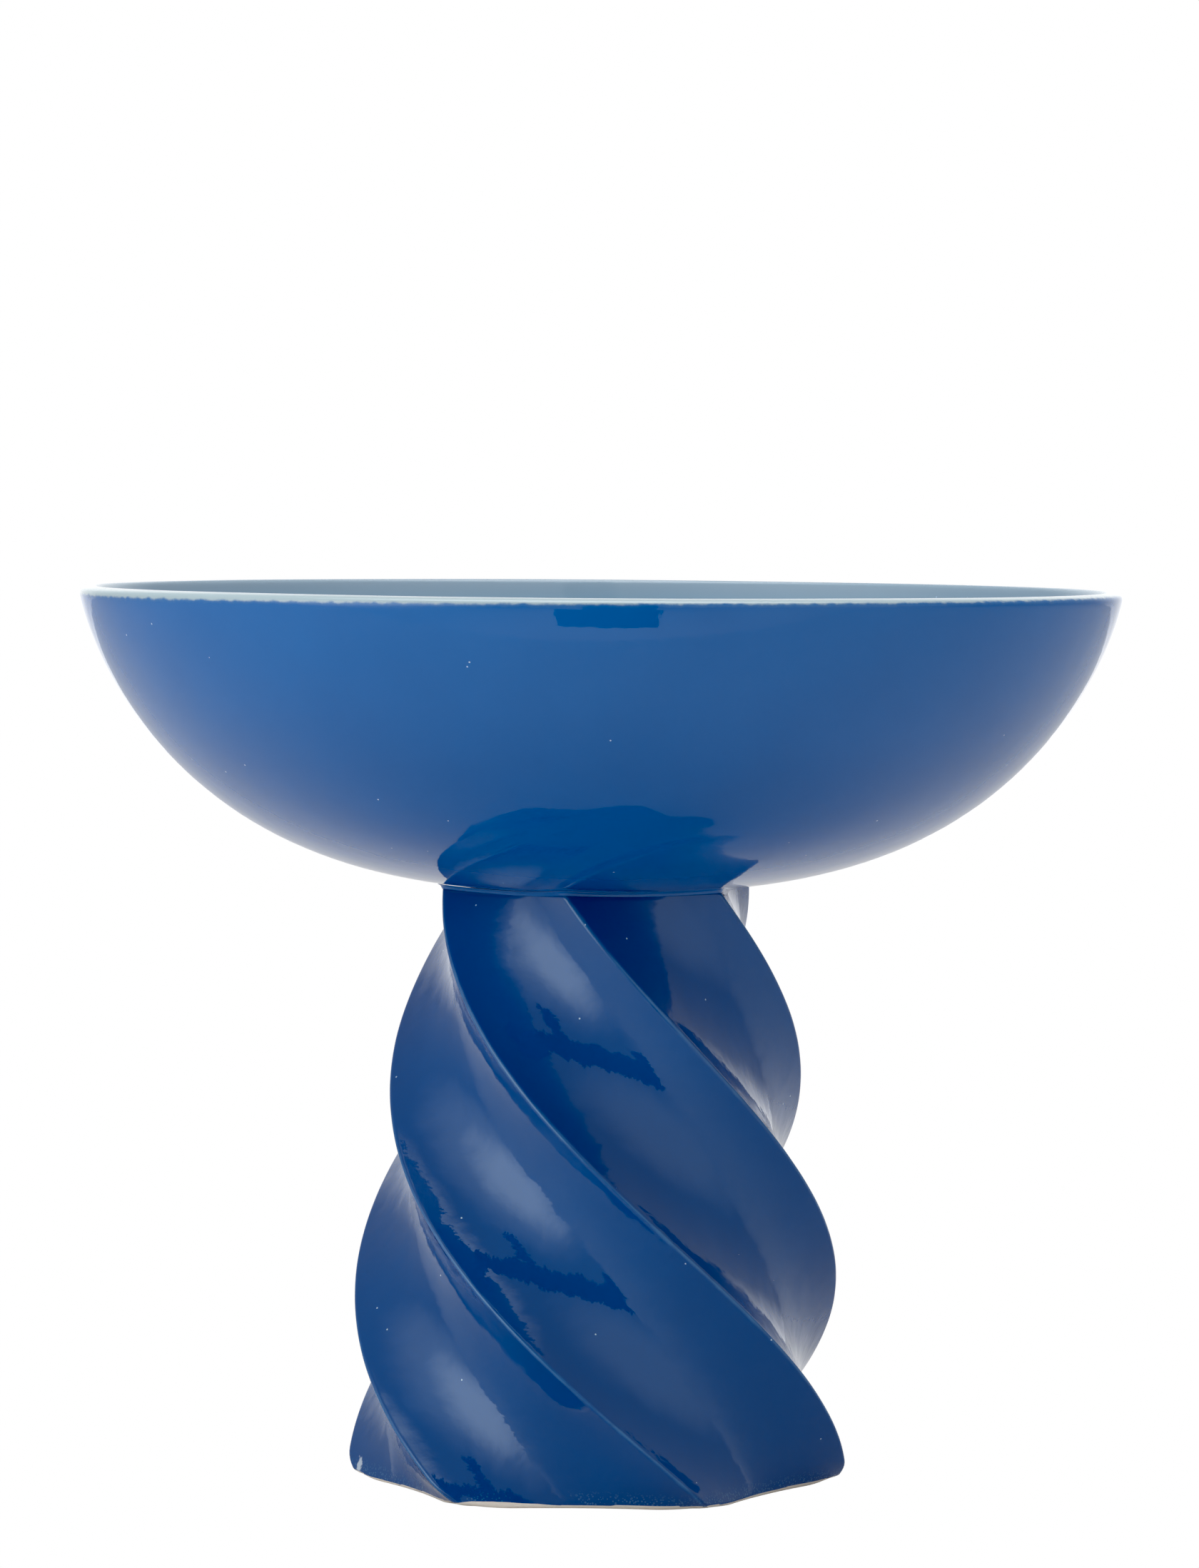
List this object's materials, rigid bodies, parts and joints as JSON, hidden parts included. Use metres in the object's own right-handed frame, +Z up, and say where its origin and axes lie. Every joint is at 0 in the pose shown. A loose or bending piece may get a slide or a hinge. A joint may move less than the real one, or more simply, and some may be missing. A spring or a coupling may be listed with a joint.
{
  "type": "footed bowl",
  "caption": "Round glazed ceramic bowl on a hollow twisted polygonal pedestal, open at the top to hold fruit or a centrepiece.",
  "frame": {"origin": "centre of the foot, on the surface the object stands on", "axes": "+Z up along the bowl's axis; -Y towards the viewer"},
  "size_m": [0.25, 0.25, 0.215],
  "materials": {
    "bowl_glaze": "gloss",
    "pedestal_glaze": "gloss",
    "joint_glaze": "gloss"
  },
  "bodies": {
    "root": {"bowl": "bowl_glaze", "pedestal": "pedestal_glaze", "joint_slip": "joint_glaze"}
  },
  "joints": []
}
